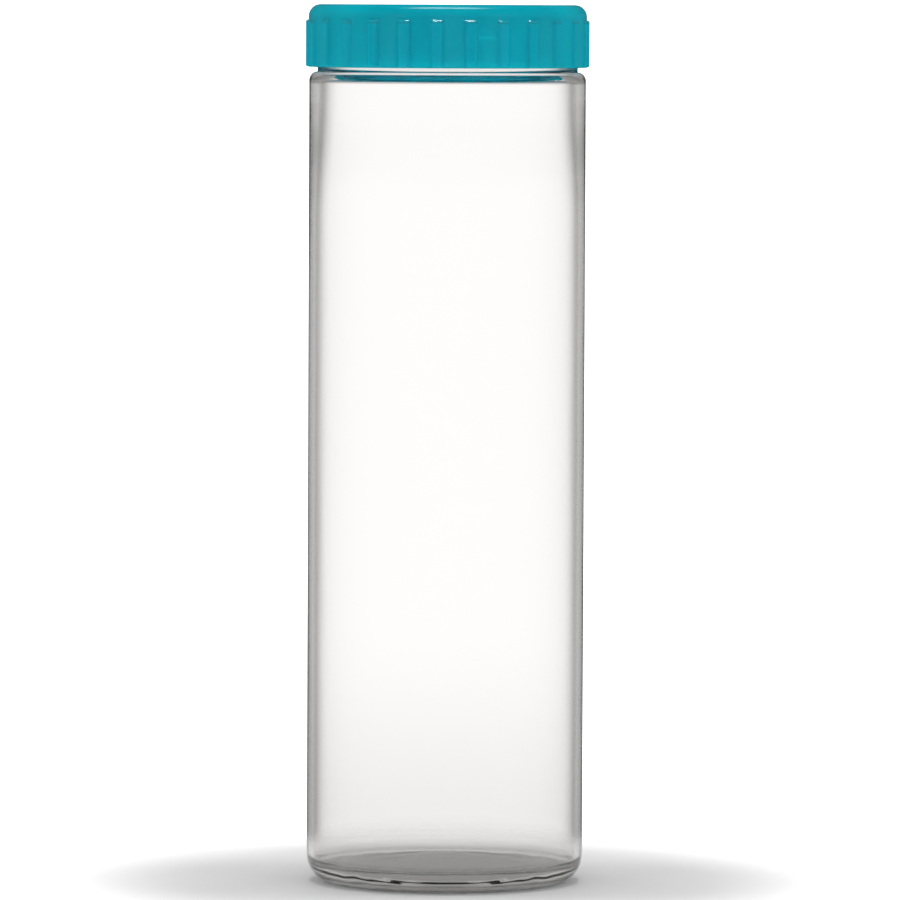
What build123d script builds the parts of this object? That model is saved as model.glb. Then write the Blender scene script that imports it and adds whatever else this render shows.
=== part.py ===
from build123d import *
import os
from math import cos, radians, sin

# Lidded glass canister: a tall straight jar, a quarter-turn lid and its seal ring.
#
# Millimetres, +Z up. The origin is the centre of the circle that the jar stands on.
# At rest the lid is seated and its lugs are in the gaps between the jar's ridges,
# where it drops on. Turned clockwise by 65 degrees, the lugs go under the ridges.

os.makedirs("parts", exist_ok=True)

# ---- Driving dimensions -------------------------------------------------------
total_height = 286.0
body_radius = 45.0
wall = 2.0
wall_at_shoulder = 3.0
taper_start_z = 215.0

# Jar base: a resting ring, an elliptical heel outside it and a push-up inside it
heel_width = 7.5
heel_height = 8.5
land_width = 2.2
push_up = 3.0
floor_edge_z = 6.2
floor_centre_z = 7.0
floor_corner = 2.4

# Jar top: a short shoulder, a collar, and the finish that the lid goes over
shoulder_gap = 1.5
shoulder_height = 2.9
collar_radius = 42.3
collar_height = 2.4
finish_radius = 41.5
mouth_radius = 39.0
rim_round = 0.8
throat_drop = 0.3
throat_height = 3.6

# Lid: skirt, roof, plug wall and grip ribs
lid_height = 20.4
roof = 2.2
skirt_radius = 45.3
skirt_bore = 43.7
rib_radius = 46.16
rib_count = 26
rib_start_angle = 2.55
rib_width = 4.6
rib_root = 0.6
rib_round = 0.55
rib_end_round = 0.4
rib_top_drop = 5.0
cap_round = 3.9
panel_radius = 40.0
panel_depth = 0.7
plug_radius = 38.0
plug_wall = 1.3
plug_depth = 4.7
bead_reach = 0.6
bead_height = 1.2

# Seal ring
seal_bore = 38.3
seal_radius = 43.2
seal_thickness = 2.1
seal_round = 0.5
seal_groove_width = 1.6
seal_groove_depth = 0.4

# Quarter-turn closure: ridges on the jar, lugs inside the lid
lug_count = 4
ridge_reach = 1.6
ridge_height = 2.2
ridge_angle = 46.0
stop_angle = 4.0
stop_height = 2.8
lug_reach = 1.8
lug_height = 2.3
lug_angle = 20.0
lug_gap = 0.3
stop_gap_angle = 0.5
ridge_top_below_rim = 6.0

# Half the height of the slice in which corners of one height are picked
pick_slice = 0.01

# ---- Places that follow from them ---------------------------------------------
lid_bottom_z = total_height - lid_height
roof_under_z = total_height - roof
rim_z = roof_under_z - seal_thickness
shoulder_top_z = lid_bottom_z - shoulder_gap
shoulder_bottom_z = shoulder_top_z - shoulder_height
collar_top_z = shoulder_top_z + collar_height
throat_bottom_z = shoulder_bottom_z - throat_drop
throat_top_z = throat_bottom_z + throat_height
ring_radius = body_radius - heel_width
inner_radius = body_radius - wall
shoulder_inner_radius = body_radius - wall_at_shoulder
finish_wall = finish_radius - mouth_radius
rib_depth = 2 * (rib_radius - skirt_radius) + rib_root
rib_top_z = total_height - rib_top_drop
ridge_top_z = rim_z - ridge_top_below_rim
ridge_bottom_z = ridge_top_z - ridge_height
lug_top_z = ridge_bottom_z - lug_gap

# A lug stands in the middle of turn 0. The stop of the next ridge is just clear of it
# on its anticlockwise side, and the ridge that it goes under lies clockwise of it.
lug_pitch = 360 / lug_count
stop_start = lug_angle / 2 + stop_gap_angle
lock_turn = lug_pitch - lug_angle - stop_angle - 2 * stop_gap_angle


def sector(inner, outer, start, sweep):
    """The sketch of a ring sector, from the angle start over sweep degrees."""
    first, middle, last = [radians(start + sweep * share) for share in (0, 0.5, 1)]
    with BuildSketch() as ring_sector:
        with BuildLine():
            outer_arc = ThreePointArc(
                *[(outer * cos(a), outer * sin(a)) for a in (first, middle, last)]
            )
            inner_arc = ThreePointArc(
                *[(inner * cos(a), inner * sin(a)) for a in (first, middle, last)]
            )
            Line(inner_arc @ 0, outer_arc @ 0)
            Line(inner_arc @ 1, outer_arc @ 1)
        make_face()
    return ring_sector.sketch


# ---- Glass jar ------------------------------------------------------------------
with BuildPart() as jar:
    with BuildSketch(Plane.XZ) as jar_section:
        with BuildLine():
            underside = TangentArc(
                (0, push_up), (ring_radius - land_width, 0), tangent=(1, 0)
            )
            Line(underside @ 1, (ring_radius, 0))
            heel = EllipticalCenterArc(
                (ring_radius, heel_height), heel_width, heel_height, start_angle=270, arc_size=90
            )
            Line(heel @ 1, (body_radius, shoulder_bottom_z))
            shoulder = EllipticalCenterArc(
                (collar_radius, shoulder_bottom_z),
                body_radius - collar_radius,
                shoulder_height,
                start_angle=0,
                arc_size=90,
            )
            outside = Polyline(
                shoulder @ 1,
                (collar_radius, collar_top_z),
                (finish_radius, collar_top_z + collar_radius - finish_radius),
                (finish_radius, rim_z),
                (mouth_radius, rim_z),
                (mouth_radius, throat_top_z),
            )
            throat = Spline(
                outside @ 1,
                (shoulder_inner_radius, throat_bottom_z),
                tangents=((0, -1), (0, -1)),
            )
            taper = Spline(
                throat @ 1,
                (inner_radius, taper_start_z),
                tangents=((0, -1), (0, -1)),
            )
            Line(taper @ 1, (inner_radius, floor_edge_z + floor_corner))
            RadiusArc(
                (inner_radius, floor_edge_z + floor_corner),
                (inner_radius - floor_corner, floor_edge_z),
                floor_corner,
            )
            TangentArc(
                (0, floor_centre_z), (inner_radius - floor_corner, floor_edge_z), tangent=(1, 0)
            )
            Line((0, floor_centre_z), (0, push_up))
        make_face()
        rim_corners = jar_section.vertices().filter_by_position(
            Axis.Y, rim_z - pick_slice, rim_z + pick_slice
        )
        fillet(rim_corners, rim_round)
    revolve(axis=Axis.Z)
    ridge_span = (finish_radius - finish_wall / 2, finish_radius + ridge_reach)
    ridge_starts = [stop_start + n * lug_pitch for n in range(lug_count)]
    with BuildSketch(Plane.XY.offset(ridge_bottom_z)):
        for start in ridge_starts:
            add(sector(*ridge_span, start, ridge_angle))
    extrude(amount=ridge_height)
    with BuildSketch(Plane.XY.offset(ridge_bottom_z - stop_height)):
        for start in ridge_starts:
            add(sector(*ridge_span, start, stop_angle))
    extrude(amount=stop_height)
jar.part.label = "jar"

# ---- Silicone seal ring -----------------------------------------------------------
with BuildPart() as seal_ring:
    with BuildSketch(Plane.XZ) as seal_section:
        with Locations(((seal_bore + seal_radius) / 2, rim_z + seal_thickness / 2)):
            RectangleRounded(seal_radius - seal_bore, seal_thickness, seal_round)
        with Locations(((seal_bore + seal_radius) / 2, rim_z + seal_thickness)):
            Rectangle(seal_groove_width, 2 * seal_groove_depth, mode=Mode.SUBTRACT)
    revolve(axis=Axis.Z)
seal_ring.part.label = "seal_ring"

# ---- Lid ----------------------------------------------------------------------------
with BuildPart() as lid:
    with BuildSketch(Plane.XY.offset(lid_bottom_z)):
        with PolarLocations(rib_radius - rib_depth / 2, rib_count, start_angle=rib_start_angle):
            RectangleRounded(rib_depth, rib_width, rib_round)
    extrude(amount=rib_top_z - lid_bottom_z)
    rib_ends = lid.edges().group_by(Axis.Z)
    fillet(rib_ends[0] + rib_ends[-1], rib_end_round)
    with BuildSketch(Plane.XZ) as lid_section:
        with BuildLine():
            Polyline(
                (0, roof_under_z),
                (plug_radius - plug_wall, roof_under_z),
                (plug_radius - plug_wall, roof_under_z - plug_depth),
                (plug_radius, roof_under_z - plug_depth),
                (plug_radius + bead_reach, roof_under_z - plug_depth + bead_height / 2),
                (plug_radius, roof_under_z - plug_depth + bead_height),
                (plug_radius, roof_under_z),
                (skirt_bore, roof_under_z),
                (skirt_bore, lid_bottom_z),
                (skirt_radius, lid_bottom_z),
                (skirt_radius, total_height),
                (panel_radius, total_height),
                (panel_radius - panel_depth, total_height - panel_depth),
                (0, total_height - panel_depth),
                close=True,
            )
        make_face()
        crown = lid_section.vertices().filter_by_position(
            Axis.Y, total_height - pick_slice, total_height + pick_slice
        )
        fillet(crown.sort_by(Axis.X)[-1], cap_round)
    revolve(axis=Axis.Z)
    lug_span = (skirt_bore - lug_reach, (skirt_bore + skirt_radius) / 2)
    with BuildSketch(Plane.XY.offset(lug_top_z - lug_height)):
        for n in range(lug_count):
            add(sector(*lug_span, n * lug_pitch - lug_angle / 2, lug_angle))
    extrude(amount=lug_height)
lid.part.label = "lid"

export_step(jar.part, "parts/jar.step")
export_step(seal_ring.part, "parts/seal_ring.step")
export_step(lid.part, "parts/lid.step")

print("resting ring radius", ring_radius, "rim z", rim_z, "roof underside z", roof_under_z)
print("turn from rest to locked, degrees", -lock_turn)
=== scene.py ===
"""Lidded glass canister: clear glass jar, translucent twist lid, silicone seal ring and a plain studio.

Metres, +Z up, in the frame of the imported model. Each piece is a surface of revolution worked
out with numpy: a profile of radius and height, carried round the axis, with a small change of
radius or height wherever the real piece has ribs, lugs, ridges, a mould seam or soft waves.
"""
import math

import bpy
import numpy as np
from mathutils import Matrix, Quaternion, Vector


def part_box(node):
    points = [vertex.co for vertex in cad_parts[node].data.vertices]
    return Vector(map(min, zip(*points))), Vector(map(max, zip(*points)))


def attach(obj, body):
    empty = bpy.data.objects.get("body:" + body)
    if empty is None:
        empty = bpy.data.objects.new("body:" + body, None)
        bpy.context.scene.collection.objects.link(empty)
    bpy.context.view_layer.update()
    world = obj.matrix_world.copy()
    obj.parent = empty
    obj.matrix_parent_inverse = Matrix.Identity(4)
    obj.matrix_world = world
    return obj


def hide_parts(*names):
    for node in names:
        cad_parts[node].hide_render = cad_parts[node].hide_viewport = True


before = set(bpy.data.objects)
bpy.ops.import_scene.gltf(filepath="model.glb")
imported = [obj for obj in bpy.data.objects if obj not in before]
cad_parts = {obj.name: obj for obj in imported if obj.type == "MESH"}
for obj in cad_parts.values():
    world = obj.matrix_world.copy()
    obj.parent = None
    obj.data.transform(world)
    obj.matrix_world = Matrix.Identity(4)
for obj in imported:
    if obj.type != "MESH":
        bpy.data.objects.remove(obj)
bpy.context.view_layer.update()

bl_info = {
    "name": "Lidded Glass Canister",
    "version": (1, 0, 0),
    "blender": (4, 5, 0),
    "location": "View3D > Sidebar > Canister",
    "description": "Builds a tall glass canister with a ribbed twist lid and its studio",
    "category": "Add Mesh",
}

JAR_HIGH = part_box("jar")[1]
LID_LOW, LID_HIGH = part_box("lid")
SEAL_LOW, SEAL_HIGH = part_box("seal_ring")
MM = 0.001

# How far below the jar's rim the lugs' upper faces lie when the lid is seated
LUG_DROP = 8.5 * MM

# The floor lies a hair below the jar's resting ring, so that the two never share a plane
FLOOR_LEVEL = -0.2 * MM

# The longest run between two rows of a mesh, in plain parts and in detailed ones
PLAIN_STEP = 8 * MM
NECK_STEP = 0.25 * MM
FLOOR_STEP = 1.1 * MM
LID_STEP = 4 * MM
SKIRT_STEP = 0.55 * MM
BORE_STEP = 0.45 * MM
RIB_TOP_STEP = 0.12 * MM

# The finest rows lie this near to a height this far below the ribs' upper ends
RIB_TOP_REACH = 0.9 * MM
RIB_TOP_SINK = 0.3 * MM

# Columns of each mesh round the axis, and the extra ones at a mould seam or a rib's flank
GLASS_COLUMNS = 288
SEAM_COLUMNS = 9
SEAM_SPREAD = math.radians(0.9)
COLUMNS_PER_RIB = 8
FLANK_COLUMNS = 5
FLANK_SPREAD = 0.6
SEAL_COLUMNS = 240
STAGE_COLUMNS = 96

# How closely rows are picked by their radius or height
HAIR = 0.01 * MM
NEAR = 0.1 * MM
MARGIN = 1 * MM

# The room's white panels, and where their edges fade, as cosines of PANELS times the angle round it
PANELS = 8
PANEL_EDGE = (-0.7, 0.7)

# Where the room's bands begin and end, as sines of the angle above floor level
CEILING_EDGE = (0.55, 0.8)
STRIP_FOOT = (0.04, 0.07)
STRIP_TOP = (0.25, 0.4)
BELOW_EDGE = (-0.115, -0.08)


# ---- Settings ---------------------------------------------------------------------


def length(name, description, default):
    """A length property in metres."""
    return bpy.props.FloatProperty(
        name=name, description=description, default=default, unit="LENGTH", precision=5
    )


def turned(name, description, degrees):
    """An angle property, given in degrees and kept in radians."""
    return bpy.props.FloatProperty(
        name=name, description=description, default=math.radians(degrees), subtype="ANGLE"
    )


def fraction(name, description, default):
    """A property from 0 to 1."""
    return bpy.props.FloatProperty(
        name=name, description=description, default=default, subtype="FACTOR", min=0, max=1
    )


def colour(name, description, default):
    """A linear colour property."""
    return bpy.props.FloatVectorProperty(
        name=name, description=description, default=default, subtype="COLOR", size=3, min=0, max=1
    )


class GlassSettings(bpy.types.PropertyGroup):
    """Sizes and colour of the glass jar"""

    radius: length("Body radius", "Outer radius of the straight body", JAR_HIGH[0])
    rim: length("Rim height", "Height of the rim above the standing surface", JAR_HIGH[2])
    wall: length("Wall", "Glass thickness over most of the body", 2.0 * MM)
    shoulder_wall: length("Wall at shoulder", "Glass thickness just under the shoulder", 3.0 * MM)
    taper: length("Taper height", "Height from which the wall thickens upwards", 215 * MM)
    heel_width: length("Heel width", "Radial size of the rounded heel", 7.5 * MM)
    heel_height: length("Heel height", "Height of the rounded heel", 8.5 * MM)
    land: length("Land width", "Width of the ring that the jar stands on", 2.2 * MM)
    push_up: length("Push-up", "Height of the hollow under the base", 3.0 * MM)
    floor_edge: length("Floor height", "Height of the inside floor at its edge", 6.2 * MM)
    floor_centre: length("Floor centre", "Height of the inside floor on the axis", 7.0 * MM)
    floor_corner: length("Floor corner", "Radius between inside floor and wall", 2.4 * MM)
    shoulder: length("Shoulder height", "Height over which the body rounds in to the collar", 2.9 * MM)
    collar_radius: length("Collar radius", "Radius of the collar under the lid", 42.3 * MM)
    collar: length("Collar height", "Height of the collar above the shoulder", 2.4 * MM)
    collar_round: length("Collar round", "Radius in the corner between shoulder and collar", 0.4 * MM)
    neck_round: length("Neck round", "Radius in the corner between collar and neck", 0.6 * MM)
    collar_gap: length("Collar gap", "How far the shoulder ends below the lid", 1.5 * MM)
    finish_radius: length("Neck radius", "Outer radius of the neck inside the lid", 41.5 * MM)
    mouth_radius: length("Mouth radius", "Inner radius of the mouth", 39.0 * MM)
    rim_round: length("Rim round", "Radius of the rim's corners", 0.8 * MM)
    neck_gap: length("Neck gap", "How far above the lid's lower edge the fine rows begin", 1 * MM)
    ridge_reach: length("Ridge reach", "How far a closing ridge stands out", 1.6 * MM)
    ridge_height: length("Ridge height", "Height of a closing ridge", 2.2 * MM)
    ridge_drop: length("Ridge drop", "How far the ridges lie below the rim", 6.0 * MM)
    stop_height: length("Stop height", "How far a stop reaches below its ridge", 2.8 * MM)
    ridge_soft: length("Ridge softness", "Height of a ridge's sloping flanks", 0.35 * MM)
    ridges: bpy.props.IntProperty(name="Ridges", description="Number of closing ridges", default=4, min=1)
    ridge_start: turned("Ridge start", "Angle from +X to the stopped end of the first ridge", 10.5)
    ridge_turn: turned("Ridge turn", "Length of a ridge round the neck", 46)
    stop_turn: turned("Stop turn", "Width of a stop round the neck", 4)
    end_turn: turned("Ridge ends", "Length of a ridge's sloping ends round the neck", 1.2)
    seam: length("Mould seam", "How far the two mould seams stand out", 0.05 * MM)
    seam_width: length("Seam width", "Half the width of a mould seam", 0.22 * MM)
    seam_end: length("Seam end", "How far from the base and the rim the seams end", 1.5 * MM)
    throat_drop: length("Throat drop", "How far the throat starts below the shoulder", 0.3 * MM)
    throat_height: length("Throat height", "Height over which the bore narrows to the mouth", 3.6 * MM)
    ripple: length("Floor ripple", "Height of the soft waves in the inside floor", 0.015 * MM)
    tint: colour("Glass tint", "Colour that thick glass lets through", (0.84, 0.835, 0.825))
    density: bpy.props.FloatProperty(
        name="Tint density", description="Strength of the tint per metre of glass", default=32.0, min=0
    )


class LidSettings(bpy.types.PropertyGroup):
    """Sizes and colour of the twist lid"""

    top: length("Top height", "Height of the lid's top", LID_HIGH[2])
    bottom: length("Bottom height", "Height of the skirt's lower edge", LID_LOW[2])
    rib_radius: length("Rib radius", "Radius over the grip ribs", LID_HIGH[0])
    skirt_radius: length("Skirt radius", "Outer radius between the ribs", 45.3 * MM)
    bore: length("Skirt bore", "Inner radius of the skirt", 43.7 * MM)
    roof: length("Roof", "Thickness of the roof", 2.2 * MM)
    crown: length("Crown", "Radius of the upper outer corner", 3.9 * MM)
    rib_width: length("Rib width", "Width of a grip rib", 4.6 * MM)
    rib_round: length("Rib round", "Width of a rib's rounded flanks", 1.1 * MM)
    rib_drop: length("Rib drop", "How far the ribs end below the top", 5.0 * MM)
    panel_radius: length("Panel radius", "Radius of the sunk panel on top", 40.0 * MM)
    panel_depth: length("Panel depth", "Depth of the sunk panel on top", 0.7 * MM)
    edge_round: length("Edge round", "Radius of the skirt's lower edge and the panel's edges", 0.5 * MM)
    mouth_round: length("Bore round", "Radius of the bore's lower edge and the plug's root", 0.3 * MM)
    plug_foot: length("Plug foot", "Radius between the roof and the plug wall's inside", 0.8 * MM)
    plug_round: length("Plug round", "Radius of the plug wall's lower edges", 0.4 * MM)
    bead_round: length("Bead round", "Radius of the bead's edge", 0.25 * MM)
    gate_round: length("Gate round", "Radius round the moulding mark and above the bead", 0.2 * MM)
    plug_radius: length("Plug radius", "Outer radius of the wall that enters the mouth", 38.0 * MM)
    plug_wall: length("Plug wall", "Thickness of that wall", 1.3 * MM)
    plug_depth: length("Plug depth", "How far that wall reaches below the roof", 4.7 * MM)
    bead: length("Bead", "How far the seal's holding bead stands out", 0.6 * MM)
    lug_reach: length("Lug reach", "How far a lug stands in from the skirt", 1.8 * MM)
    lug_height: length("Lug height", "Height of a lug", 2.3 * MM)
    lug_soft: length("Lug softness", "Height of a lug's sloping flanks", 0.4 * MM)
    lug_top: length("Lug top", "Height of a lug's upper face", JAR_HIGH[2] - LUG_DROP)
    lugs: bpy.props.IntProperty(name="Lugs", description="Number of lugs", default=4, min=1)
    lug_turn: turned("Lug turn", "Length of a lug round the bore", 20)
    lug_end: turned("Lug ends", "Length of a lug's sloping ends round the bore", 1)
    ribs: bpy.props.IntProperty(name="Ribs", description="Number of grip ribs", default=26, min=3)
    rib_start: turned("First rib", "Angle of the first rib's middle from +X", 2.55)
    rib_end_round: length("Rib end round", "Radius of a rib's upper and lower end", 0.7 * MM)
    gate_radius: length("Gate radius", "Radius of the moulding mark in the middle of the top", 2.2 * MM)
    gate_depth: length("Gate depth", "Depth of that mark", 0.25 * MM)
    gate_slope: length("Gate slope", "Width of that mark's sloping side", 0.3 * MM)
    plastic: colour("Plastic", "Colour of the translucent plastic", (0.0, 0.60, 0.75))


class SealSettings(bpy.types.PropertyGroup):
    """Sizes and colour of the seal ring"""

    bore: length("Bore", "Inner radius of the ring", 38.3 * MM)
    radius: length("Radius", "Outer radius of the ring", 43.2 * MM)
    bottom: length("Bottom", "Height of the face on the rim", SEAL_LOW[2])
    top: length("Top", "Height of the face under the roof", SEAL_HIGH[2])
    round: length("Edge round", "Radius of the ring's edges", 0.5 * MM)
    groove_width: length("Groove width", "Width of the groove in the upper face", 1.6 * MM)
    groove_depth: length("Groove depth", "Depth of that groove", 0.4 * MM)
    groove_edge: length("Groove edge", "Radius of the groove's upper edges", 0.15 * MM)
    groove_foot: length("Groove foot", "Radius in the groove's lower corners", 0.1 * MM)
    silicone: colour("Silicone", "Colour of the milky silicone", (0.74, 0.78, 0.77))


class StudioSettings(bpy.types.PropertyGroup):
    """Floor, light and camera"""

    floor: colour("Floor", "Colour of the pale floor", (0.84, 0.84, 0.84))
    floor_radius: length("Floor radius", "Radius at which the round floor has faded away", 0.18)
    floor_solid: length("Solid floor radius", "Radius from which the floor fades", 0.08)
    distance: length("Camera distance", "From the jar's axis to the camera", 2.48)
    height: length("Camera height", "Height of the camera above the floor", LID_HIGH[2])
    lens: bpy.props.FloatProperty(
        name="Lens", description="Focal length on a 36 mm sensor", default=304.4, unit="CAMERA"
    )
    pitch: turned("Pitch", "Downward tilt of the camera", 3.35)
    yaw: turned("Yaw", "Turn of the camera to the right of the axis", 0.03)
    roll: turned("Roll", "Turn of the camera about its own line of sight", 0.25)
    softbox_size: bpy.props.FloatVectorProperty(
        name="Softbox size", description="Width and depth of the overhead softbox",
        default=(0.7, 0.16), size=2, unit="LENGTH",
    )
    softbox_height: length("Softbox height", "Height of the overhead softbox", 1.6)
    softbox_power: bpy.props.FloatProperty(
        name="Softbox power", description="Power of the overhead softbox", default=7.5,
        unit="POWER", min=0,
    )
    backdrop: bpy.props.FloatProperty(
        name="Backdrop light", description="Brightness of the white panels round the room", default=1.6
    )
    gaps: bpy.props.FloatProperty(
        name="Gaps between panels", description="Brightness of the grey between the panels", default=0.35
    )
    ceiling: bpy.props.FloatProperty(
        name="Ceiling light", description="Brightness of the overhead soft light", default=0.5
    )
    veil: fraction("Veil", "How much weaker the room is through glass", 0.29)
    strip: fraction("Strip", "How much weaker still it is in a strip just above floor level", 0.3)
    below: fraction("Below", "How much weaker still it is below floor level", 0.12)
    blended: fraction("Blended panels", "Share of white in the room after a mirror", 0.45)
    dimming: fraction("Dimming", "How much weaker the room is in mirror reflections", 0.95)


# ---- Outlines -------------------------------------------------------------------------


def ellipse(centre, radii, first, last, count):
    """Points on an ellipse about centre: radius + a cos t and height + b sin t, t in degrees."""
    t = np.radians(np.linspace(first, last, count))
    return np.column_stack((centre[0] + radii[0] * np.cos(t), centre[1] + radii[1] * np.sin(t)))


def s_bend(start, end, count):
    """Points whose height runs evenly and whose radius follows 3t^2 - 2t^3 between two places."""
    t = np.linspace(0, 1, count)
    blend = t * t * (3 - 2 * t)
    return np.column_stack(
        (start[0] + (end[0] - start[0]) * blend, start[1] + (end[1] - start[1]) * t)
    )


def dome(start, end, count):
    """Points whose radius runs evenly and whose height follows the square of that run."""
    t = np.linspace(0, 1, count)
    centre, edge = (start, end) if start[0] < end[0] else (end, start)
    share = t if start[0] < end[0] else 1 - t
    return np.column_stack(
        (centre[0] + (edge[0] - centre[0]) * share, centre[1] + (edge[1] - centre[1]) * share**2)
    )


def rounded(corners, radii, steps=7):
    """An open line through the corners, in which each inner corner is an arc of its own radius.

    The arc touches both sides at radius / tan(half the corner's angle) from the corner."""
    corners = np.asarray(corners, float)
    stretches = [corners[:1]]
    for here, before, after, radius in zip(corners[1:-1], corners[:-2], corners[2:], radii):
        if radius <= 0:
            stretches.append(here[None])
            continue
        back = (before - here) / np.linalg.norm(before - here)
        on = (after - here) / np.linalg.norm(after - here)
        half = math.acos(np.clip(back @ on, -1, 1)) / 2
        middle = (back + on) / np.linalg.norm(back + on)
        centre = here + middle * radius / math.sin(half)
        start = here + back * radius / math.tan(half) - centre
        end = here + on * radius / math.tan(half) - centre
        turn = math.atan2(start[0] * end[1] - start[1] * end[0], start @ end)
        t = np.linspace(0, turn, steps)[:, None]
        across = np.array((-start[1], start[0]))
        stretches.append(centre + np.cos(t) * start + np.sin(t) * across)
    stretches.append(corners[-1:])
    return joined(*stretches)


def joined(*stretches):
    """The stretches end to end, with points that repeat the one before left out."""
    points = np.vstack(stretches)
    fresh = np.linalg.norm(np.diff(points, axis=0), axis=1) > 1e-7
    return points[np.concatenate(([True], fresh))]


def divided(points, step):
    """The same line with extra points, so that no run is longer than step, a number or an array."""
    run = np.linalg.norm(np.diff(points, axis=0), axis=1)
    parts = np.maximum(1, np.ceil(run / step)).astype(int)
    which = np.repeat(np.arange(len(parts)), parts)
    within = np.arange(len(which)) - np.repeat(np.cumsum(parts) - parts, parts)
    share = (within / parts[which])[:, None]
    return np.vstack((points[which] * (1 - share) + points[which + 1] * share, points[-1:]))


# ---- Surfaces ---------------------------------------------------------------------------


def edge_in(t):
    """A quarter circle: 0 at t = 0, upright there, and level at 1 from t = 1 on."""
    t = np.clip(t, 0, 1)
    return np.sqrt(1 - (1 - t) ** 2)


def smooth(t):
    """3t^2 - 2t^3 between 0 and 1, level outside."""
    t = np.clip(t, 0, 1)
    return t * t * (3 - 2 * t)


def band(value, low, high, soft, shape=smooth):
    """1 between low and high, 0 outside, rising and falling over a width of soft inside them."""
    return shape((value - low) / soft) * shape((high - value) / soft)


def ripples(turn, radius, edge):
    """Soft uneven rings: two sines of the radius whose phases swing with the angle, level at the
    axis and from the edge on."""
    long_wave, short_wave = 7.1 * MM, 3.7 * MM
    calm_middle, calm_edge = 6 * MM, 12 * MM
    rings = 0.6 * np.sin(radius * 2 * np.pi / long_wave + 0.5 * np.sin(3 * turn + 0.4))
    rings += 0.4 * np.sin(radius * 2 * np.pi / short_wave + 0.9 * np.sin(2 * turn + 1.1))
    return rings * smooth(radius / calm_middle) * smooth((edge - radius) / calm_edge)


def around(count, dense=(), width=0.0, extra=0):
    """Angles round the circle in radians, evenly spread, with extra ones close to each dense angle."""
    angles = [np.linspace(0, 2 * np.pi, count, endpoint=False)]
    angles += [place + np.linspace(-width, width, extra) for place in dense]
    angles = np.sort(np.concatenate(angles) % (2 * np.pi))
    return angles[np.concatenate(([True], np.diff(angles) > 1e-5))]


def revolved(name, profile, angles, change=None):
    """A surface of revolution: x = (r + out) cos a, y = (r + out) sin a, z = height + up.

    profile is a line of radius and height, with the piece's outside on its right. A first or
    last point on the axis becomes one pole, and where neither is, the line closes on itself as a
    ring. change is a function of the angle, radius and height grids that returns out and up."""
    radius = np.repeat(profile[:, :1], len(angles), axis=1)
    height = np.repeat(profile[:, 1:], len(angles), axis=1)
    turn = np.repeat(angles[None], len(profile), axis=0)
    if change is not None:
        out, up = change(turn, radius, height)
        radius, height = radius + out, height + up
    grid = np.dstack((radius * np.cos(turn), radius * np.sin(turn), height))
    rows, columns = turn.shape
    poles = [profile[0, 0] < 1e-7, profile[-1, 0] < 1e-7]
    ring = not any(poles)
    inner = grid[1 if poles[0] else 0:rows - 1 if poles[1] else rows]
    places = inner.reshape(-1, 3)
    index = np.arange(len(places)).reshape(len(inner), columns)
    upper = np.roll(index, -1, axis=0) if ring else index[1:]
    lower = index if ring else index[:-1]
    quads = np.dstack(
        (lower, np.roll(lower, -1, axis=1), np.roll(upper, -1, axis=1), upper)
    ).reshape(-1, 4)
    triangles = []
    for at_start, row in ((True, index[0]), (False, index[-1])):
        if not poles[0 if at_start else 1]:
            continue
        pole = np.full(columns, len(places))
        places = np.vstack((places, grid[0 if at_start else -1, :1]))
        fan = (pole, np.roll(row, -1), row) if at_start else (row, np.roll(row, -1), pole)
        triangles.append(np.column_stack(fan))
    loops = np.concatenate([quads.ravel(), *[t.ravel() for t in triangles]])
    sizes = np.concatenate([np.full(len(quads), 4), *[np.full(len(t), 3) for t in triangles]])
    mesh = bpy.data.meshes.new(name)
    mesh.vertices.add(len(places))
    mesh.vertices.foreach_set("co", places.ravel())
    mesh.loops.add(len(loops))
    mesh.loops.foreach_set("vertex_index", loops)
    mesh.polygons.add(len(sizes))
    mesh.polygons.foreach_set("loop_start", np.cumsum(sizes) - sizes)
    mesh.polygons.foreach_set("use_smooth", np.ones(len(sizes), bool))
    mesh.update(calc_edges=True)
    mesh.validate()
    piece = bpy.data.objects.new(name, mesh)
    bpy.context.scene.collection.objects.link(piece)
    return piece


# ---- Materials ----------------------------------------------------------------------------


class Value:
    """A number or vector socket that takes part in Python sums, which become Math nodes."""

    def __init__(self, finish, socket):
        self.finish = finish
        self.socket = socket

    def maths(self, operation, *others):
        """This value and the others put through one Math node."""
        return self.finish.add(
            "ShaderNodeMath", {"operation": operation}, dict(enumerate((self, *others)))
        )

    def __add__(self, other):
        return self.maths("ADD", other)

    def __radd__(self, other):
        return self.maths("ADD", other)

    def __sub__(self, other):
        return self.maths("SUBTRACT", other)

    def __rsub__(self, other):
        return self.finish.add(
            "ShaderNodeMath", {"operation": "SUBTRACT"}, {0: other, 1: self}
        )

    def __mul__(self, other):
        return self.maths("MULTIPLY", other)

    def __rmul__(self, other):
        return self.maths("MULTIPLY", other)

    def __pow__(self, other):
        return self.maths("POWER", other)

    def step(self, low, high):
        """0 below low, 1 above high and smooth between them."""
        return self.finish.add(
            "ShaderNodeMapRange",
            {"interpolation_type": "SMOOTHSTEP"},
            {"Value": self, "From Min": low, "From Max": high},
        )


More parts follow.
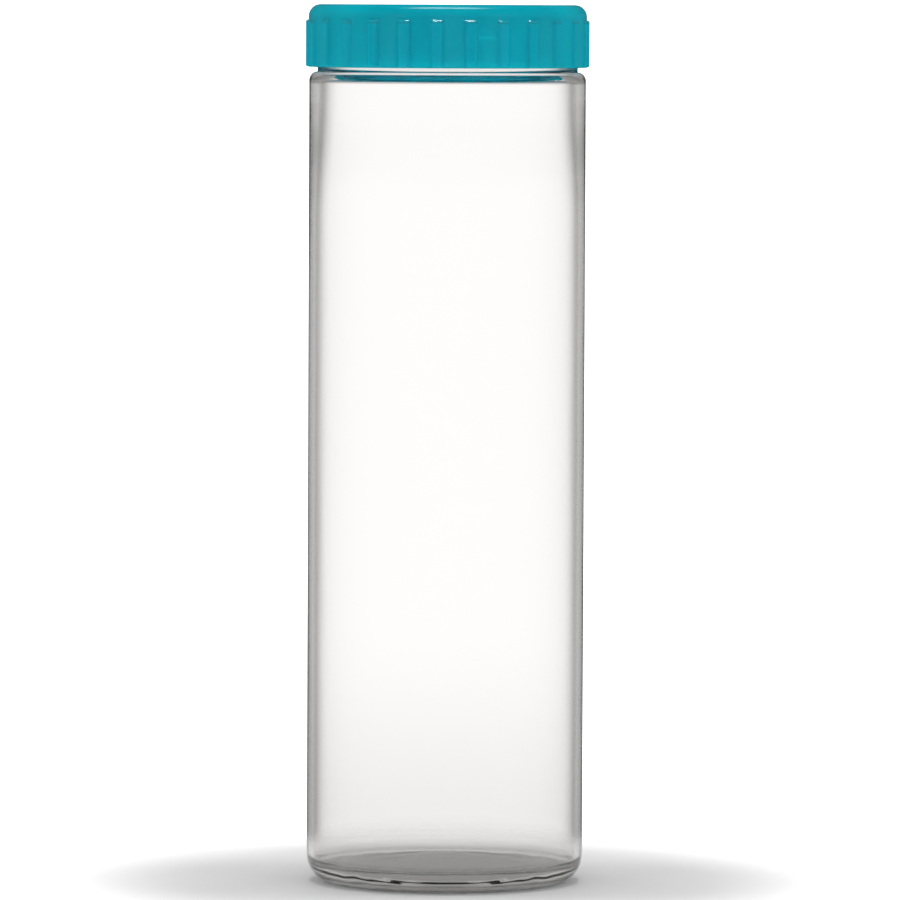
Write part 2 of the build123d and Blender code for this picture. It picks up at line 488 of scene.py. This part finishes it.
class Finish:
    """A node tree under construction, of a material or of the world."""

    def __init__(self, owner):
        self.owner = owner
        owner.use_nodes = True
        self.tree = owner.node_tree
        self.tree.nodes.clear()

    @classmethod
    def material(cls, name):
        """A new material's node tree."""
        return cls(bpy.data.materials.new(name))

    def add(self, kind, settings=None, sockets=None, out=0):
        """One node: its settings are set first, then its sockets get values or links.

        Returns the output that out names, or nothing for a node without outputs."""
        node = self.tree.nodes.new(kind)
        for key, value in (settings or {}).items():
            setattr(node, key, value)
        for key, value in (sockets or {}).items():
            if isinstance(value, Value):
                self.tree.links.new(value.socket, node.inputs[key])
            else:
                node.inputs[key].default_value = value
        return Value(self, node.outputs[out]) if len(node.outputs) else None

    def mix(self, mask, first, second):
        """Two colours mixed by a mask from 0 to 1."""
        pair = [part if isinstance(part, Value) else (*part, 1.0) for part in (first, second)]
        sockets = {0: mask, 6: pair[0], 7: pair[1]}
        return self.add("ShaderNodeMix", {"data_type": "RGBA"}, sockets, out=2)

    def places(self, scale=(1, 1, 1)):
        """The piece's own coordinates in metres, multiplied by scale."""
        own = self.add("ShaderNodeTexCoord", out=3)
        return self.add("ShaderNodeMapping", {}, {"Vector": own, "Scale": scale})

    def split(self, vector):
        """The three numbers of a vector."""
        node = self.add("ShaderNodeSeparateXYZ", {}, {0: vector}).socket.node
        return [Value(self, socket) for socket in node.outputs]

    def noise(self, vector, scale, detail):
        """Soft noise between 0 and 1."""
        return self.add(
            "ShaderNodeTexNoise", {}, {"Vector": vector, "Scale": scale, "Detail": detail}
        )

    def surface(self, settings, volume=None):
        """The output node, fed by one Principled shader and, where given, a volume."""
        sockets = {"Surface": self.add("ShaderNodeBsdfPrincipled", {}, settings)}
        if volume is not None:
            sockets["Volume"] = volume
        self.add("ShaderNodeOutputMaterial", {}, sockets)
        return self.owner


def clear_glass(settings):
    """Soda-lime glass: clear, faintly uneven from blowing, and satin on its underside."""
    glass = Finish.material("clear_glass")
    slow = glass.noise(glass.places((1, 1, 0.45)), 30.0, 2.0)
    fine = glass.noise(glass.places((1, 1, 0.35)), 190.0, 1.0)
    x, y, z = glass.split(glass.places())
    from_axis = (x * x + y * y) ** 0.5
    ring = settings.radius - settings.heel_width
    hollow_top = settings.push_up + 0.1 * MM
    under = 1 - z.step(hollow_top, hollow_top + 0.5 * MM)
    under = under * (1 - from_axis.step(ring - 0.5 * MM, ring + 1.5 * MM))
    near_base = 1 - z.step(4 * MM, 35 * MM)
    uneven = slow * 0.6 + fine * (near_base * 0.05 + 0.012)
    skin = glass.add(
        "ShaderNodeBump", {}, {"Strength": 0.35, "Distance": 0.0004, "Height": uneven}
    )
    inside = glass.add(
        "ShaderNodeVolumeAbsorption",
        {},
        {"Color": (*settings.tint, 1.0), "Density": settings.density},
    )
    return glass.surface(
        {
            "Base Color": (0.998, 0.988, 0.981, 1.0),
            "Roughness": under * 0.22,
            "IOR": 1.52,
            "Transmission Weight": 1.0,
            "Normal": skin,
        },
        inside,
    )


def lid_plastic(settings):
    """Translucent plastic with a faint moulded unevenness and a polish on the ribs' tops, plus painted
    shade: the ribs are coloured a little darker so that they look less lit than the skirt between them."""
    plastic = Finish.material("teal_plastic")
    cloud = plastic.noise(plastic.places((1, 1, 0.6)), 55.0, 3.0)
    deep = tuple(0.93 * part for part in settings.plastic)
    pale = tuple(min(1.0, 1.05 * part) for part in settings.plastic)
    x, y, z = plastic.split(plastic.places())
    from_axis = (x * x + y * y) ** 0.5
    skirt = settings.skirt_radius
    # Mask of the ribs, where painted shade darkens the plastic's colour
    rib_painted_shade = from_axis.step(skirt + 0.1 * MM, skirt + 0.6 * MM)
    rib_top = settings.top - settings.rib_drop
    polished = z.step(rib_top - 1.4 * MM, rib_top - 1.0 * MM)
    polished = polished * (1 - z.step(rib_top + 0.1 * MM, rib_top + 0.3 * MM))
    polished = polished * from_axis.step(skirt + 0.02 * MM, skirt + 0.1 * MM)
    shade = plastic.mix(cloud.step(0.3, 0.7), deep, pale)
    # Painted shade: the ribs get a colour 5% darker than the plastic, so that they look no lighter than
    # the skirt
    shade = plastic.mix(rib_painted_shade, shade, tuple(0.95 * part for part in settings.plastic))
    skin = plastic.add(
        "ShaderNodeBump",
        {},
        {"Strength": 0.2, "Distance": 0.0002, "Height": plastic.noise(plastic.places(), 240.0, 2.0)},
    )
    return plastic.surface(
        {
            "Base Color": shade,
            "Roughness": 0.2,
            "Specular IOR Level": 0.12,
            "IOR": 1.49,
            "Transmission Weight": 0.5,
            "Subsurface Weight": 1.0,
            "Subsurface Scale": 0.004,
            "Subsurface Radius": (0.2, 1.0, 1.0),
            "Coat Weight": polished,
            "Coat Roughness": 0.04,
            "Coat IOR": 2.8,
            "Normal": skin,
        }
    )


def silicone(settings):
    """Milky silicone rubber: soft sheen, fine matt grain."""
    rubber = Finish.material("seal_silicone")
    grain = rubber.noise(rubber.places(), 900.0, 3.0)
    shade = rubber.mix(grain, tuple(0.92 * part for part in settings.silicone), settings.silicone)
    skin = rubber.add("ShaderNodeBump", {}, {"Strength": 0.15, "Distance": 0.0001, "Height": grain})
    return rubber.surface(
        {
            "Base Color": shade,
            "Roughness": 0.45,
            "Subsurface Weight": 0.4,
            "Subsurface Scale": 0.002,
            "Normal": skin,
        }
    )


def floor_paint(settings):
    """Plain matt paint with a barely uneven tone, which fades out towards the floor's edge."""
    paint = Finish.material("pale_floor")
    places = paint.places()
    tone = paint.noise(places, 1.5, 2.0)
    shade = paint.mix(tone, tuple(0.98 * part for part in settings.floor), settings.floor)
    x, y, _ = paint.split(places)
    from_axis = (x * x + y * y) ** 0.5
    solid = 1 - from_axis.step(settings.floor_solid, settings.floor_radius)
    return paint.surface(
        {"Base Color": shade, "Roughness": 0.9, "Specular IOR Level": 0.1, "Alpha": solid}
    )


# ---- Pieces -----------------------------------------------------------------------------------


def glass_profile(s):
    """The jar's section: push-up, land, elliptical heel, wall, shoulder, collar, neck and rim,
    then the mouth, the S-bends down to the body's bore, the floor corner and the domed floor."""
    ring = s.radius - s.heel_width
    bore = s.radius - s.wall
    upper_bore = s.radius - s.shoulder_wall
    shoulder_top = LID_LOW[2] - s.collar_gap
    shoulder_base = shoulder_top - s.shoulder
    collar_top = shoulder_top + s.collar
    step = s.collar_radius - s.finish_radius
    throat_base = shoulder_base - s.throat_drop
    throat_top = throat_base + s.throat_height
    outside = joined(
        dome((0, s.push_up), (ring - s.land, 0), 24),
        ellipse((ring, s.heel_height), (s.heel_width, s.heel_height), 270, 360, 28),
        ellipse((s.collar_radius, shoulder_base), (s.radius - s.collar_radius, s.shoulder), 0, 90, 14),
        rounded(
            (
                (s.collar_radius, shoulder_top),
                (s.collar_radius, collar_top),
                (s.finish_radius, collar_top + step),
                (s.finish_radius, s.rim),
                ((s.finish_radius + s.mouth_radius) / 2, s.rim),
            ),
            (s.collar_round, s.neck_round, s.rim_round),
        ),
    )
    inside = joined(
        rounded(
            (
                ((s.finish_radius + s.mouth_radius) / 2, s.rim),
                (s.mouth_radius, s.rim),
                (s.mouth_radius, throat_top),
            ),
            (s.rim_round,),
        ),
        s_bend((s.mouth_radius, throat_top), (upper_bore, throat_base), 20),
        s_bend((upper_bore, throat_base), (bore, s.taper), 24),
        ellipse(
            (bore - s.floor_corner, s.floor_edge + s.floor_corner),
            (s.floor_corner, s.floor_corner), 360, 270, 14,
        ),
        dome((bore - s.floor_corner, s.floor_edge), (0, s.floor_centre), 30),
    )
    return outside, inside


class CANISTER_OT_glass(bpy.types.Operator):
    """Makes the glass jar with its closing ridges, stops and mould seams"""

    bl_idname = "canister.glass"
    bl_label = "Glass jar"

    def execute(self, context):
        s = context.scene.canister_glass
        outside, inside = glass_profile(s)
        neck_base = LID_LOW[2] + s.neck_gap
        coarse = divided(outside, PLAIN_STEP)
        in_neck = coarse[:, 1] > neck_base
        outside = joined(coarse[~in_neck], divided(coarse[in_neck], NECK_STEP))
        floor_top = s.floor_centre + NEAR
        on_floor = inside[:-1, 1] < floor_top
        profile = joined(outside, divided(inside, np.where(on_floor, FLOOR_STEP, PLAIN_STEP)))
        outer_rows = len(outside)
        ridge_top = s.rim - s.ridge_drop
        ridge_base = ridge_top - s.ridge_height
        period = 360 / s.ridges
        ends = math.degrees(s.end_turn)

        def change(turn, radius, height):
            """Ridges and stops round the neck, a fine seam up each side, and waves in the floor."""
            row = np.arange(len(turn))[:, None]
            outer = row < outer_rows - 1
            local = np.degrees(turn - s.ridge_start) % period
            ridge = band(local, 0, math.degrees(s.ridge_turn), ends) * band(
                height, ridge_base, ridge_top, s.ridge_soft
            )
            stop = band(local, 0, math.degrees(s.stop_turn), ends) * band(
                height, ridge_base - s.stop_height, ridge_top, s.ridge_soft
            )
            on_neck = radius > s.finish_radius - HAIR
            raised = np.maximum(ridge, stop) * s.ridge_reach * on_neck
            from_seam = np.abs((turn + np.pi / 2) % np.pi - np.pi / 2) * s.radius
            seam = np.exp(-((from_seam / s.seam_width) ** 2)) * s.seam
            on_body = (height > s.seam_end) & (height < s.rim - s.seam_end)
            waves = ripples(turn, radius, s.radius - s.wall - s.floor_corner) * s.ripple
            in_floor = ~outer & (height < floor_top)
            return (raised + seam * on_body) * outer, waves * in_floor

        angles = around(GLASS_COLUMNS, (0.0, np.pi), SEAM_SPREAD, SEAM_COLUMNS)
        piece = revolved("canister_glass", profile, angles, change)
        piece.data.materials.append(clear_glass(s))
        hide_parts("jar")
        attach(piece, "jar")
        return {"FINISHED"}


def lid_profile(s):
    """The lid's section: up the skirt, round the crown, over the sunk panel to the axis, and
    back below the roof, round the plug wall with its bead, and down the skirt's bore."""
    under = s.top - s.roof
    plug_end = under - s.plug_depth
    panel = s.top - s.panel_depth
    plug_inner = s.plug_radius - s.plug_wall
    over = rounded(
        (
            ((s.skirt_radius + s.bore) / 2, s.bottom),
            (s.skirt_radius, s.bottom),
            (s.skirt_radius, s.top),
            (s.panel_radius, s.top),
            (s.panel_radius - s.panel_depth, panel),
            (s.gate_radius, panel),
            (s.gate_radius - s.gate_slope, panel - s.gate_depth),
            (0, panel - s.gate_depth),
        ),
        (s.edge_round, s.crown, s.edge_round, s.edge_round, s.gate_round, s.gate_round / 2),
        9,
    )
    below = rounded(
        (
            (0, under),
            (plug_inner, under),
            (plug_inner, plug_end),
            (s.plug_radius, plug_end),
            (s.plug_radius + s.bead, plug_end + s.bead),
            (s.plug_radius, plug_end + 2 * s.bead),
            (s.plug_radius, under),
            (s.bore, under),
            (s.bore, s.bottom),
            ((s.skirt_radius + s.bore) / 2, s.bottom),
        ),
        (
            s.plug_foot, s.plug_round, s.plug_round, s.bead_round, s.gate_round, s.mouth_round,
            s.edge_round, s.mouth_round,
        ),
        6,
    )
    return over, below


class CANISTER_OT_lid(bpy.types.Operator):
    """Makes the twist lid with its grip ribs outside and its lugs inside"""

    bl_idname = "canister.lid"
    bl_label = "Twist lid"

    def execute(self, context):
        s = context.scene.canister_lid
        over, below = lid_profile(s)
        rib_top = s.top - s.rib_drop
        on_skirt = over[:-1, 1] < rib_top + MARGIN
        over = divided(over, np.where(on_skirt, SKIRT_STEP, LID_STEP))
        at_rib_top = np.abs(over[:-1, 1] - rib_top + RIB_TOP_SINK) < RIB_TOP_REACH
        over = divided(over, np.where(at_rib_top, RIB_TOP_STEP, LID_STEP))
        in_bore = below[:-1, 0] > s.bore - MARGIN
        below = divided(below, np.where(in_bore, BORE_STEP, LID_STEP))
        profile = joined(below, over)
        inner_rows = len(below)
        period = 360 / s.ribs
        first_rib = math.degrees(s.rib_start)
        half_rib = math.degrees(s.rib_width / 2 / s.rib_radius)
        round_turn = math.degrees(s.rib_round / s.rib_radius)
        lug_period = 360 / s.lugs
        half_lug = math.degrees(s.lug_turn) / 2

        def change(turn, radius, height):
            """Ribs with rounded edges stand out of the skirt, and lugs stand in from its bore."""
            row = np.arange(len(turn))[:, None]
            degrees = np.degrees(turn)
            from_rib = np.abs((degrees - first_rib + period / 2) % period - period / 2)
            rib = smooth((half_rib - from_rib) / round_turn)
            rib = rib * band(height, s.bottom, rib_top, s.rib_end_round, edge_in)
            on_outside = (row >= inner_rows) & (radius > s.skirt_radius - 0.6 * MM)
            from_lug = (degrees + lug_period / 2) % lug_period - lug_period / 2
            lug = band(from_lug, -half_lug, half_lug, math.degrees(s.lug_end)) * band(
                height, s.lug_top - s.lug_height, s.lug_top, s.lug_soft
            )
            on_bore = (row < inner_rows) & (np.abs(radius - s.bore) < HAIR)
            out = rib * (s.rib_radius - s.skirt_radius) * on_outside - lug * s.lug_reach * on_bore
            return out, 0

        rib_edges = np.radians(
            [
                first_rib + n * period + side * (half_rib - round_turn / 2)
                for n in range(s.ribs)
                for side in (-1, 1)
            ]
        )
        spread = math.radians(FLANK_SPREAD * round_turn)
        angles = around(COLUMNS_PER_RIB * s.ribs, rib_edges, spread, FLANK_COLUMNS)
        piece = revolved("twist_lid", profile, angles, change)
        piece.data.materials.append(lid_plastic(s))
        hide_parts("lid")
        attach(piece, "lid")
        return {"FINISHED"}


class CANISTER_OT_seal(bpy.types.Operator):
    """Makes the silicone seal ring with rounded edges and a grooved upper face"""

    bl_idname = "canister.seal"
    bl_label = "Seal ring"

    def execute(self, context):
        s = context.scene.canister_seal
        middle = (s.bore + s.radius) / 2
        groove = s.groove_width / 2
        outline = rounded(
            (
                (middle, s.bottom),
                (s.radius, s.bottom),
                (s.radius, s.top),
                (middle + groove, s.top),
                (middle + groove, s.top - s.groove_depth),
                (middle - groove, s.top - s.groove_depth),
                (middle - groove, s.top),
                (s.bore, s.top),
                (s.bore, s.bottom),
                (middle, s.bottom),
            ),
            (
                s.round, s.round, s.groove_edge, s.groove_foot, s.groove_foot, s.groove_edge,
                s.round, s.round,
            ),
        )
        piece = revolved("silicone_seal", outline[:-1], around(SEAL_COLUMNS))
        piece.data.materials.append(silicone(s))
        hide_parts("seal_ring")
        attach(piece, "seal")
        return {"FINISHED"}


# ---- Studio -----------------------------------------------------------------------------------


def light_room(settings):
    """A round room: evenly spread white panels with grey between them, and a soft ceiling.

    Through glass it is weaker, more so in a strip just above floor level and a little more so
    below that level. In mirrors it is weakest, and after a mirror the panels blend into one tone."""
    world = bpy.data.worlds.new("studio")
    bpy.context.scene.world = world
    room = Finish(world)
    x, y, z = room.split(room.add("ShaderNodeTexCoord"))
    round_about = y.maths("ARCTAN2", x)
    panel = (round_about * PANELS).maths("COSINE").step(*PANEL_EDGE)
    bounced = room.add("ShaderNodeLightPath", out="Glossy Depth").maths("MINIMUM", 1.0)
    panel = panel * (1 - bounced) + bounced * settings.blended
    walls = panel * (settings.backdrop - settings.gaps) + settings.gaps
    ceiling = z.step(*CEILING_EDGE)
    through = room.add("ShaderNodeLightPath", out="Is Transmission Ray")
    mirrored = room.add("ShaderNodeLightPath", out="Is Glossy Ray") * (1 - through)
    strip = z.step(*STRIP_FOOT) * (1 - z.step(*STRIP_TOP)) * settings.strip
    below = (1 - z.step(*BELOW_EDGE)) * settings.below
    shade = through * (settings.veil + strip + below) + mirrored * settings.dimming
    strength = (walls * (1 - ceiling) + ceiling * settings.ceiling) * (1 - shade)
    glow = room.add(
        "ShaderNodeBackground", {}, {"Color": (1.0, 1.0, 1.0, 1.0), "Strength": strength}
    )
    room.add("ShaderNodeOutputWorld", {}, {"Surface": glow})


def softbox(name, size, height, power):
    """An oblong area light straight above the jar, facing down."""
    data = bpy.data.lights.new(name, "AREA")
    data.shape = "RECTANGLE"
    data.size, data.size_y = size
    data.energy = power
    lamp = bpy.data.objects.new(name, data)
    lamp.location = (0, 0, height)
    bpy.context.scene.collection.objects.link(lamp)


class CANISTER_OT_studio(bpy.types.Operator):
    """Makes the pale floor, the room's soft light, the softbox and the camera"""

    bl_idname = "canister.studio"
    bl_label = "Studio"

    def execute(self, context):
        s = context.scene.canister_studio
        scene = context.scene
        outline = np.array([(s.floor_radius * part, FLOOR_LEVEL) for part in (1, 0.5, 0)])
        floor = revolved("pale_floor", outline, around(STAGE_COLUMNS))
        floor.data.materials.append(floor_paint(s))
        light_room(s)
        softbox("overhead_softbox", s.softbox_size, s.softbox_height, s.softbox_power)
        data = bpy.data.cameras.new("camera")
        data.lens = s.lens
        data.sensor_width = 36.0
        data.clip_start, data.clip_end = 0.1, 40.0
        camera = bpy.data.objects.new("camera", data)
        camera.rotation_mode = "QUATERNION"
        camera.location = (0, -s.distance, s.height)
        aim = Vector((math.sin(s.yaw), math.cos(s.yaw), -math.tan(s.pitch)))
        level = aim.to_track_quat("-Z", "Y")
        camera.rotation_quaternion = level @ Quaternion((0, 0, 1), s.roll)
        scene.collection.objects.link(camera)
        scene.camera = camera
        scene.view_settings.view_transform = "Standard"
        scene.cycles.max_bounces = 24
        scene.cycles.transmission_bounces = 20
        scene.cycles.glossy_bounces = 8
        return {"FINISHED"}


class CANISTER_PT_panel(bpy.types.Panel):
    """Buttons that build the canister piece by piece"""

    bl_idname = "CANISTER_PT_panel"
    bl_label = "Glass canister"
    bl_space_type = "VIEW_3D"
    bl_region_type = "UI"
    bl_category = "Canister"

    def draw(self, context):
        for operator in OPERATORS:
            self.layout.operator(operator.bl_idname)


GROUPS = {
    "canister_glass": GlassSettings,
    "canister_lid": LidSettings,
    "canister_seal": SealSettings,
    "canister_studio": StudioSettings,
}
OPERATORS = (CANISTER_OT_glass, CANISTER_OT_lid, CANISTER_OT_seal, CANISTER_OT_studio)


def register():
    """Registers the settings, the operators and the panel."""
    for group in (*GROUPS.values(), *OPERATORS, CANISTER_PT_panel):
        bpy.utils.register_class(group)
    for name, group in GROUPS.items():
        setattr(bpy.types.Scene, name, bpy.props.PointerProperty(type=group))


def unregister():
    """Takes away what register added."""
    for name in GROUPS:
        delattr(bpy.types.Scene, name)
    for group in (CANISTER_PT_panel, *reversed(OPERATORS), *reversed(tuple(GROUPS.values()))):
        bpy.utils.unregister_class(group)


def main():
    """Builds every piece and the studio."""
    register()
    bpy.ops.canister.glass()
    bpy.ops.canister.lid()
    bpy.ops.canister.seal()
    bpy.ops.canister.studio()


if __name__ == "__main__":
    main()
